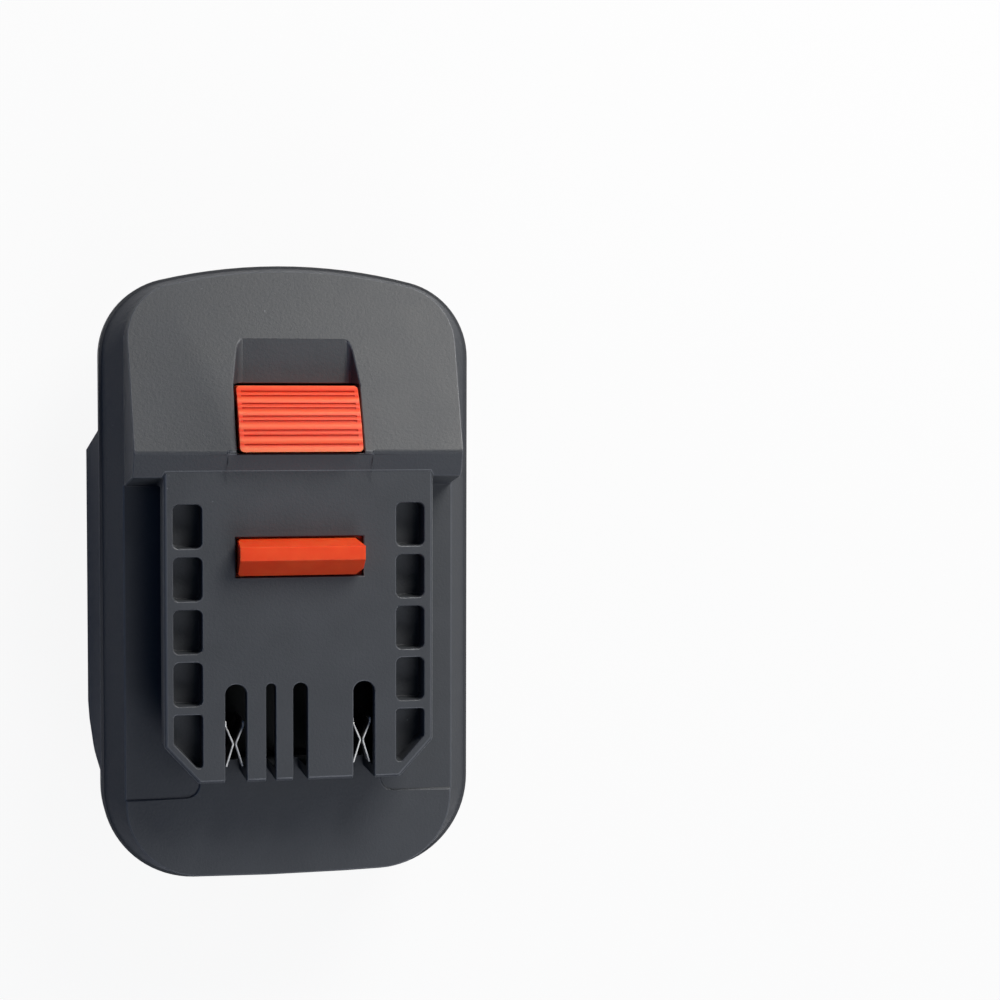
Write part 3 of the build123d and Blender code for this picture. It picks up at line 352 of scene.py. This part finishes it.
finishes = {
    # the third colour of each is the painted highlight on rounded outward edges
    "upperAbs": mouldedAbs("mouldedAbsUpper", "#33363A", "#404348", edgeHighlight="#505358", lint=0.3),
    "lowerAbs": mouldedAbs("mouldedAbsLower", "#303236", "#3A3C41", edgeHighlight="#4A4D52", lint=0.25),
    "acetal": mouldedAcetal(),
    # tinned bronze is the brightest, plated blades are warmer, wire and oxided steel are duller
    "tinned": stampedMetal("tinnedBronzeStrip", "#F2F1EE", 0.30, 0.25 * mm, slotShade=slotShadeStrip),
    "plated": stampedMetal("platedBladeStrip", "#D2D1CA", 0.28, 0.25 * mm),
    "wire": stampedMetal("drawnMusicWire", "#9C9B96", 0.34, 0.15 * mm),
    "blackSteel": stampedMetal("blackenedSteel", "#2E2E30", 0.42, 0.30 * mm),
    # a board darkened to near-black green as painted shade, so the slots read dark, then matte epoxy, pale
    # glazed ceramic, a bright can, and satin nylon and silicone
    "board": smallPartFinish("solderMaskLaminate", "#030806", "#050D0A", 0.62, 0.9 * mm),
    "epoxy": smallPartFinish("mouldedEpoxy", "#17181A", "#1E1F22", 0.55, 0.25 * mm),
    "ceramic": smallPartFinish("firedCeramic", "#D8D4C8", "#E4E0D6", 0.30, 0.6 * mm),
    "can": smallPartFinish("drawnAluminiumCan", "#BFC1C4", "#CBCDD0", 0.28, 0.5 * mm, metallic=1.0),
    "nylon": smallPartFinish("mouldedNylon", "#1A1B1D", "#212225", 0.50, 0.4 * mm),
    "redSilicone": smallPartFinish("siliconeRed", "#9A1712", "#AC1E17", 0.48, 0.7 * mm),
    "blackSilicone": smallPartFinish("siliconeBlack", "#161617", "#1E1E20", 0.48, 0.7 * mm),
}
print("materials made:", len(finishes))


# Moulded pieces: a copy of each solid, cleaned and given its real small radii

upperShell = {
    "body": "housing", "slot": "housing_plastic", "finish": "upperAbs",
    "radius": 0.24 * mm, "segments": 3, "sharp": 28,
    "stray": 0.45,                               # how far a corner may leave the solid, in radii
    "openOnly": True,                            # only edges that look out are rounded, and those in full
    "crease": (45.05 * mm, 36.0 * mm),           # y and z of the line where the scoop meets the slope
}
# these two come out with smaller radii than asked for, because their smallest facets limit them all
lowerShell = {
    "body": "housing", "slot": "housing_plastic", "finish": "lowerAbs",
    "radius": 0.24 * mm, "segments": 3, "sharp": 28, "stray": 0.45,
}
latchMoulding = {
    "body": "latch", "slot": "latch_plastic", "finish": "acetal",
    "radius": 0.12 * mm, "segments": 3, "sharp": 28, "stray": 0.45,
}
weld = 0.002 * mm                   # corners closer than this are one
nearlyFlat = math.radians(0.8)      # faces that differ less than this are one
creaseReach = 0.1 * mm
freeEdge = {
    "lowest": -0.2,                 # an edge that looks down more than this stays sharp
    "lift": 0.05 * mm,              # the line of sight starts this far off the edge
    "reach": 300 * mm,
}
roundedPlace = 1                    # the material place that marks the rounding's own faces


def cleanCopy(node):
    form = bmesh.new()
    form.from_mesh(nodes[node].data)
    bmesh.ops.remove_doubles(form, verts=form.verts, dist=weld)
    bmesh.ops.dissolve_limit(form, angle_limit=nearlyFlat, verts=form.verts, edges=form.edges,
                             delimit=set())
    return form


def looksOut(edge, surface):
    # whether an edge looks sideways or up, with nothing of its own piece in front of it
    out = edge.link_faces[0].normal + edge.link_faces[1].normal
    middle = (edge.verts[0].co + edge.verts[1].co) / 2
    start = middle + out.normalized() * freeEdge["lift"]
    return out.z > freeEdge["lowest"] and surface.ray_cast(start, out, freeEdge["reach"])[0] is None


def weighOpenEdges(form, look):
    # only edges that look out are rounded: other sharp edges and the crease just shade hard
    form.normal_update()
    surface = BVHTree.FromBMesh(form)
    weight = form.edges.layers.float.new("bevel_weight_edge")
    creaseY, creaseZ = look["crease"]
    for edge in form.edges:
        creased = all(abs(v.co.y - creaseY) + abs(v.co.z - creaseZ) < creaseReach for v in edge.verts)
        sharp = edge.calc_face_angle(0.0) >= math.radians(look["sharp"])
        rounded = sharp and looksOut(edge, surface)
        edge[weight] = 1.0 if rounded else 0.0
        edge.smooth = not creased and (rounded or not sharp)


def pulledBack(mesh, node, reach):
    # where rounded edges run together a corner can overshoot: it goes back onto the CAD surface
    skin = nodes[node].data
    surface = BVHTree.FromPolygons([v.co for v in skin.vertices], [p.vertices[:] for p in skin.polygons])
    for vertex in mesh.vertices:
        found = surface.find_nearest(vertex.co)
        spot, gap = found[0], found[3]
        if gap > reach:
            vertex.co = spot


def markEdges(mesh):
    # the outward faces among the rounding's own carry the ABS's painted edge highlight
    form = bmesh.new()
    form.from_mesh(mesh)
    marks = []
    for face in form.faces:
        middle = face.calc_center_median()
        dips = [(other.calc_center_median() - middle).dot(face.normal)
                for edge in face.edges for other in edge.link_faces if other is not face]
        marks.append(1.0 if face.material_index == roundedPlace and sum(dips) < 0 else 0.0)
    form.free()
    layer = mesh.attributes.new("edge", "FLOAT", "FACE")
    layer.data.foreach_set("value", marks)
    for polygon in mesh.polygons:
        polygon.material_index = 0


def softened(name, node, look, form):
    # a form with its sharp edges rounded and its shading evened, in its node's place
    openOnly = look.get("openOnly", False)
    if openOnly:
        weighOpenEdges(form, look)
    mesh = meshFrom(form, name)
    for polygon in mesh.polygons:
        polygon.use_smooth = True
        polygon.material_index = 0
    for place in (0, roundedPlace):              # one finish in both places, until markEdges has read them
        mesh.materials.append(finishes[look["finish"]])
    piece = addObject(name, mesh)
    bevel = piece.modifiers.new("edge", "BEVEL")
    bevel.width = look["radius"]
    bevel.segments = look["segments"]
    bevel.limit_method = "WEIGHT" if openOnly else "ANGLE"
    bevel.angle_limit = math.radians(look["sharp"])
    bevel.use_clamp_overlap = not openOnly       # with it, the smallest facet limits every radius
    bevel.material = roundedPlace
    weighted = piece.modifiers.new("flatFaces", "WEIGHTED_NORMAL")
    weighted.mode = "FACE_AREA"
    weighted.weight = 100
    weighted.keep_sharp = openOnly
    finished = shapedMesh(piece)
    piece.modifiers.clear()
    piece.data = finished
    bpy.data.meshes.remove(mesh)
    finished.name = name
    if "stray" in look:
        pulledBack(finished, node, look["stray"] * look["radius"])
    markEdges(finished)
    finished.materials.clear()
    finished.materials.append(finishes[look["finish"]])
    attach(piece, look["body"])
    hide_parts(node)
    print("softened", name, len(finished.polygons), "faces")
    return piece


softened("upperShell", "upper_housing", upperShell, cleanCopy("upper_housing"))
softened("lowerShell", "lower_housing", lowerShell, cleanCopy("lower_housing"))
softened("latchMoulding", "release_latch", latchMoulding, cleanCopy("release_latch"))


# Fork contacts: thin sprung leaves that meet in the middle, on the CAD contact's legs and base plate

contactFork = {
    "body": "housing", "slot": "contact_metal", "finish": "tinned",
    "radius": 0.06 * mm, "segments": 2, "sharp": 28,
    "sheet": 0.36 * mm,
    "inset": 0.25 * mm,              # the legs stand in from the solid's sides
    "leg": 0.9 * mm,                 # a leg's length along the slot
    "leafHeight": 4.0 * mm,
    "leafGap": 1.8 * mm,
    "mouth": 0.1 * mm,               # from the solid's front to the leaves' tips
    "mouthHalf": 1.55 * mm,
    "pinch": 4.2 * mm,               # from the tips to the line where the leaves meet the blade
    "pinchHalf": 0.24 * mm,
    "bend": 0.5 * mm,                # the pinch is rounded over this much on both sides
    "bendShare": 0.12,
    "baseLength": 6.0 * mm,
    "baseLap": 0.4 * mm,
    "baseSheet": 0.5 * mm,
}


def strip(form, path, sheet, low, high):
    # a flat strip on edge: the path seen from above, given its thickness and its two heights
    rings = []
    for i, spot in enumerate(path):
        before, after = path[max(i - 1, 0)], path[min(i + 1, len(path) - 1)]
        way = (Vector(after) - Vector(before)).normalized()
        out = Vector((-way.y, way.x)) * sheet / 2
        left, right = Vector(spot) + out, Vector(spot) - out
        rings.append([form.verts.new((point.x, point.y, z)) for point, z in
                      ((left, low), (left, high), (right, high), (right, low))])
    closeRings(form, rings)


def forkForm(node):
    look = contactFork
    low, high = (Vector(corner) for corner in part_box(node))
    middle = (low.x + high.x) / 2
    half = (high.x - low.x) / 2 - look["inset"]
    legY = high.y - look["leg"]
    mouthY = low.y + look["mouth"]
    pinchY = mouthY + look["pinch"]
    form = bmesh.new()
    for turn in (-1, 1):
        rear, pinch, mouth = half * turn, look["pinchHalf"] * turn, look["mouthHalf"] * turn
        leaf = [(middle + rear, legY),
                (middle + pinch + look["bendShare"] * (rear - pinch), pinchY + look["bend"]),
                (middle + pinch, pinchY),
                (middle + pinch + look["bendShare"] * (mouth - pinch), pinchY - look["bend"]),
                (middle + mouth, mouthY)]
        for top in (high.z, high.z - look["leafHeight"] - look["leafGap"]):
            strip(form, leaf, look["sheet"], top - look["leafHeight"], top)
        strip(form, [(middle + rear, high.y), (middle + rear, legY)], look["sheet"], low.z, high.z)
    strip(form, [(middle, high.y), (middle, high.y - look["baseLength"])],
          2 * half + look["baseLap"], low.z, low.z + look["baseSheet"])
    bmesh.ops.recalc_face_normals(form, faces=form.faces)
    return form


for side in ("positive", "negative"):
    softened(f"{side}Fork", f"{side}_contact", contactFork, forkForm(f"{side}_contact"))


# Latch springs: round drawn wire in open turns

springCoil = {
    "body": "housing", "slot": "spring_steel", "finish": "wire",
    "radius": 0.05 * mm, "segments": 1, "sharp": 60,         # of the wire's cut ends
    "wire": 0.6 * mm, "turns": 4, "steps": 24, "sides": 10,
    "travel": 4.5 * mm,
}


def coilForm(node):
    look = springCoil
    low, high = (Vector(corner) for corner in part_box(node))
    wire = look["wire"] / 2
    radius = (high.x - low.x) / 2 - wire
    foot = Vector(((low.x + high.x) / 2, (low.y + high.y) / 2, low.z + wire))
    rise = high.z - low.z - 2 * wire
    count = look["turns"] * look["steps"]
    around = [math.tau * k / look["sides"] for k in range(look["sides"])]
    form = bmesh.new()
    rings = []
    for i in range(count + 1):
        angle = math.tau * i / look["steps"]
        out = Vector((math.cos(angle), math.sin(angle), 0))
        place = foot + out * radius + Vector((0, 0, rise * i / count))
        rings.append([form.verts.new(place + out * wire * math.cos(a) + Vector((0, 0, wire * math.sin(a))))
                      for a in around])
    closeRings(form, rings)
    bmesh.ops.recalc_face_normals(form, faces=form.faces)
    return form


for side in ("left", "right"):
    coil = softened(f"{side}Coil", f"latch_spring_{side}", springCoil, coilForm(f"latch_spring_{side}"))
    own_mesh(coil)


# Screws: one turned blank with a cross recess, set out on the CAD screws' places by geometry nodes

screwKinds = {                          # half a turn of flip stands a screw head up
    "housing_screws": {"name": "housingScrews", "head": 2.9 * mm, "crown": 2.1 * mm, "shank": 1.45 * mm,
                       "pitch": 1.1 * mm, "flip": 0.0, "seed": 3},
    "board_screws": {"name": "boardScrews", "head": 2.0 * mm, "crown": 1.4 * mm, "shank": 1.0 * mm,
                     "pitch": 0.8 * mm, "flip": 0.0, "seed": 5},
    "carrier_screws": {"name": "carrierScrews", "head": 2.0 * mm, "crown": 1.4 * mm, "shank": 1.0 * mm,
                       "pitch": 0.8 * mm, "flip": math.pi, "seed": 8},
}
headShares = {                          # of the head's radius, and of the crown's height over its underside
    "flat": 0.30,                       # radius of the flat on top
    "domeAngles": (62, 48, 34, 20, 8, 0),
    "domeFoot": 0.35,                   # the head is widest from this height
    "rim": 0.12,                        # to this one
    "under": 0.97,                      # radius of the underside
    "recessTop": 1.25,                  # heights of the cutting bars' two ends
    "recessFoot": 0.30,
    "recessMouth": (0.6264, 0.143),     # half a bar's length and width at its top
    "recessFloor": (0.20, 0.06),        # and at its foot
}
threadShares = {                        # of the shank's radius and the pitch, its turns drawn as rings
    "neck": 0.9, "root": 0.80, "tip": 0.78, "point": 0.5,
    "first": 0.5, "crest": 0.35, "next": 0.7, "tipLength": 0.1,
}
screwSides = 32
screwSharp = 35                         # degrees, where its shading breaks


def islands(mesh):
    # the lowest and highest corners of each loose part of a mesh
    form = bmesh.new()
    form.from_mesh(mesh)
    bmesh.ops.remove_doubles(form, verts=form.verts, dist=weld)
    left, boxes = set(form.verts), []
    while left:
        stack, part = [left.pop()], []
        while stack:
            vertex = stack.pop()
            part.append(vertex.co.copy())
            for edge in vertex.link_edges:
                other = edge.other_vert(vertex)
                if other in left:
                    left.remove(other)
                    stack.append(other)
        boxes.append([[pick(spot[i] for spot in part) for i in range(3)] for pick in (min, max)])
    form.free()
    return sorted(boxes)


def turnedMesh(profile, name):
    # a closed lathe form from its profile of radius and height
    turns = [math.tau * i / screwSides for i in range(screwSides)]
    form = bmesh.new()
    rings = [[form.verts.new((radius * math.cos(turn), radius * math.sin(turn), height)) for turn in turns]
             for radius, height in profile]
    closeRings(form, rings)
    bmesh.ops.recalc_face_normals(form, faces=form.faces)
    return meshFrom(form, name)


def crossTool(head, crown):
    # two tapered bars in a cross, which cut the driver's recess
    levels = ((-headShares["recessTop"] * crown, headShares["recessMouth"]),
              (-headShares["recessFoot"] * crown, headShares["recessFloor"]))
    form = bmesh.new()
    for turn in (0.0, math.pi / 2):
        bar = Matrix.Rotation(turn, 3, "Z")
        rings = [[form.verts.new(bar @ Vector((x * half * head, y * side * head, z)))
                  for x, y in ((-1, -1), (1, -1), (1, 1), (-1, 1))] for z, (half, side) in levels]
        closeRings(form, rings)
    bmesh.ops.recalc_face_normals(form, faces=form.faces)
    return meshFrom(form, "crossTool")


def screwProfile(kind, length):
    # radius and height up the screw: dome, rim and underside of the head, then the thread to its point
    head, crown, shank, pitch = kind["head"], kind["crown"], kind["shank"], kind["pitch"]
    foot = headShares["domeFoot"]
    profile = [(headShares["flat"] * head, -crown)]
    for angle in headShares["domeAngles"]:
        a = math.radians(angle)
        profile.append((head * math.cos(a), -crown * (foot + (1 - foot) * math.sin(a))))
    profile += [(head, -headShares["rim"] * crown), (headShares["under"] * head, 0.0),
                (threadShares["neck"] * shank, 0.0)]
    z = threadShares["first"] * pitch
    while z + pitch < length:
        profile += [(threadShares["root"] * shank, z), (shank, z + threadShares["crest"] * pitch),
                    (threadShares["root"] * shank, z + threadShares["next"] * pitch)]
        z += pitch
    return profile + [(threadShares["tip"] * shank, length - threadShares["tipLength"] * pitch),
                      (threadShares["point"] * shank, length)]


def screwBlank(kind, length):
    # head below the origin and threaded shank above it, as the CAD screws stand
    blank = addObject("blank", turnedMesh(screwProfile(kind, length), "blank"))
    tool = addObject("tool", crossTool(kind["head"], kind["crown"]))
    cut = blank.modifiers.new("recess", "BOOLEAN")
    cut.operation, cut.solver, cut.object = "DIFFERENCE", "EXACT", tool
    cut.use_self = True
    mesh = shapedMesh(blank)
    bpy.data.objects.remove(blank)
    bpy.data.objects.remove(tool)
    for polygon in mesh.polygons:
        polygon.use_smooth = True
    mesh.set_sharp_from_angle(angle=math.radians(screwSharp))
    return mesh


def screwNodes():
    # points in, one turned screw on each, all made real, with their finish set last
    group = bpy.data.node_groups.new("screwSet", "GeometryNodeTree")
    for name, kind in (("Places", "Geometry"), ("Screw", "Object"), ("Flip", "Float"), ("Seed", "Int"),
                       ("Finish", "Material")):
        group.interface.new_socket(name, in_out="INPUT", socket_type="NodeSocket" + kind)
    group.interface.new_socket("Screws", in_out="OUTPUT", socket_type="NodeSocketGeometry")
    given = addNode(group, "NodeGroupInput").outputs
    # a Random Value node's number sockets are 2 for the least, 3 for the most and output 1
    spin = addNode(group, "FunctionNodeRandomValue", {2: 0.0, 3: math.pi / 2, "Seed": given["Seed"]},
                   data_type="FLOAT")
    turn = addNode(group, "ShaderNodeCombineXYZ", {"X": given["Flip"], "Z": spin.outputs[1]})
    blank = addNode(group, "GeometryNodeObjectInfo", {"Object": given["Screw"]})
    put = addNode(group, "GeometryNodeInstanceOnPoints",
                  {"Points": given["Places"], "Instance": blank.outputs["Geometry"],
                   "Rotation": turn.outputs["Vector"]})
    real = addNode(group, "GeometryNodeRealizeInstances", {"Geometry": put.outputs["Instances"]})
    finish = addNode(group, "GeometryNodeSetMaterial",
                     {"Geometry": real.outputs["Geometry"], "Material": given["Finish"]})
    addNode(group, "NodeGroupOutput", {"Screws": finish.outputs["Geometry"]})
    return group


def setScrews(node, kind, tree):
    boxes = islands(nodes[node].data)
    foot, top = boxes[0]
    length = top[2] - foot[2] - kind["crown"]
    places = []
    for low, high in boxes:
        seat = high[2] - kind["crown"] if kind["flip"] else low[2] + kind["crown"]
        places.append(((low[0] + high[0]) / 2, (low[1] + high[1]) / 2, seat))
    points = bpy.data.meshes.new(kind["name"])
    points.from_pydata(places, [], [])
    screws = addObject(kind["name"], points)
    model = addObject("screwModel", screwBlank(kind, length))
    builder = screws.modifiers.new("build", "NODES")
    builder.node_group = tree
    inputs = {"Screw": model, "Flip": kind["flip"], "Seed": kind["seed"], "Finish": finishes["blackSteel"]}
    for item in tree.interface.items_tree:
        if item.in_out == "INPUT" and item.name in inputs:
            builder[item.identifier] = inputs[item.name]
    real = shapedMesh(screws)
    screws.modifiers.clear()
    screws.data = real
    bpy.data.meshes.remove(points)
    bpy.data.objects.remove(model)
    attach(screws, "housing")
    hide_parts(node)
    print("screws", kind["name"], len(real.polygons), "faces on", len(places), "places")


screwTree = screwNodes()
for node, kind in screwKinds.items():
    setScrews(node, kind, screwTree)


# CAD pieces that keep their shape and get their finish

keptFinishes = {
    "circuit_board": "board",
    "blade_carrier": "nylon",
    "positive_blade": "plated",
    "negative_blade": "plated",
    "positive_lead": "redSilicone",
    "negative_lead": "blackSilicone",
    "fuse": "ceramic",
    "power_transistor": "epoxy",
    "control_chip": "epoxy",
    "board_capacitor": "can",
    "board_resistors": "epoxy",
}
for node, finish in keptFinishes.items():
    mesh = nodes[node].data
    mesh.materials.clear()
    mesh.materials.append(finishes[finish])
print("finishes set on", len(keptFinishes), "CAD pieces")


# Floor, light and camera

stageLook = {
    "floor": "#D9D9DA",
    "floorRoughness": 0.9,
    "floorSize": 6.0,
    "floorDrop": 0.02 * mm,
    "paper": 0.92,                   # share of plain white that the camera sees; the rest keeps the shadow
    "world": "#8FB4F0",
    "worldStrength": 0.07,
}


def makeFloor():
    # pale paper: a matte diffuse sweep, and plain white for most of what the camera sees
    mesh = bpy.data.meshes.new("floor")
    half = stageLook["floorSize"] / 2
    mesh.from_pydata([(-half, -half, 0), (half, -half, 0), (half, half, 0), (-half, half, 0)], [],
                     [(0, 1, 2, 3)])
    floor = addObject("floor", mesh)
    floor.location.z = -stageLook["floorDrop"]
    material, tree = startMaterial("paleSweep")
    sweep = addNode(tree, "ShaderNodeBsdfPrincipled",
                    {"Base Color": srgb(stageLook["floor"]), "Roughness": stageLook["floorRoughness"]})
    white = addNode(tree, "ShaderNodeEmission", {"Color": grey(1), "Strength": 1.0})
    rays = addNode(tree, "ShaderNodeLightPath")
    share = addNode(tree, "ShaderNodeMath", operation="MULTIPLY",
                    feeds={0: rays.outputs["Is Camera Ray"], 1: stageLook["paper"]})
    blend = addNode(tree, "ShaderNodeMixShader",
                    {"Fac": share.outputs["Value"], 1: sweep.outputs["BSDF"], 2: white.outputs["Emission"]})
    addNode(tree, "ShaderNodeOutputMaterial", {"Surface": blend.outputs["Shader"]})
    mesh.materials.append(material)


def makeWorld():
    # a dim blue world lights the object, and the camera sees white
    world = bpy.data.worlds.new("studio")
    bpy.context.scene.world = world
    world.use_nodes = True
    tree = world.node_tree
    tree.nodes.clear()
    soft = addNode(tree, "ShaderNodeBackground",
                   {"Color": srgb(stageLook["world"]), "Strength": stageLook["worldStrength"]})
    white = addNode(tree, "ShaderNodeBackground", {"Color": grey(1), "Strength": 1.0})
    rays = addNode(tree, "ShaderNodeLightPath")
    blend = addNode(tree, "ShaderNodeMixShader",
                    {"Fac": rays.outputs["Is Camera Ray"], 1: soft.outputs["Background"],
                     2: white.outputs["Background"]})
    addNode(tree, "ShaderNodeOutputWorld", {"Surface": blend.outputs["Shader"]})


lamps = {
    "keySoftbox": {"at": (0.24, 0.40, 0.35), "size": 0.26, "power": 3.3, "colour": "#FFFCF6"},
    "frontSoftbox": {"at": (0.16, -0.45, 0.45), "size": 0.32, "power": 1.3, "colour": "#F4F7FF"},
    "overheadSoftbox": {"at": (0.25, -0.05, 0.60), "size": 0.35, "power": 0.4, "colour": "#FFFFFF"},
    "leftFill": {"at": (-0.50, 0.10, 0.34), "size": 0.40, "power": 0.22, "colour": "#8DB6FF"},
}
lampAim = (0, 0, 0.03)


def makeLamps():
    for name, look in lamps.items():
        light = bpy.data.lights.new(name, "AREA")
        light.size = look["size"]
        light.energy = look["power"]
        light.color = srgb(look["colour"])[:3]
        lamp = addObject(name, light)
        lamp.location = look["at"]
        lamp.rotation_euler = (Vector(lampAim) - lamp.location).to_track_quat("-Z", "Y").to_euler()


view = {
    "place": (-56.82 * mm, 37.00 * mm, 452.47 * mm),
    "right": (0.974086, 0.002539, 0.226162),
    "up": (0.009557, 0.998582, -0.052373),
    "focalPixels": 2217.3,
    "imagePixels": 1000,
    "sensor": 36.0,
    "near": 0.01,
    "far": 20,
}


def makeCamera():
    data = bpy.data.cameras.new("camera")
    camera = addObject("camera", data)
    right = Vector(view["right"]).normalized()
    up = Vector(view["up"])
    up = (up - right * up.dot(right)).normalized()
    turn = Matrix((right, up, right.cross(up))).transposed()
    camera.matrix_world = Matrix.Translation(Vector(view["place"])) @ turn.to_4x4()
    data.sensor_width = view["sensor"]
    data.lens = view["focalPixels"] * view["sensor"] / view["imagePixels"]
    data.clip_start = view["near"]
    data.clip_end = view["far"]
    bpy.context.scene.camera = camera


makeFloor()
makeWorld()
makeLamps()
makeCamera()
bpy.context.scene.view_settings.view_transform = "Standard"
print("stage set")
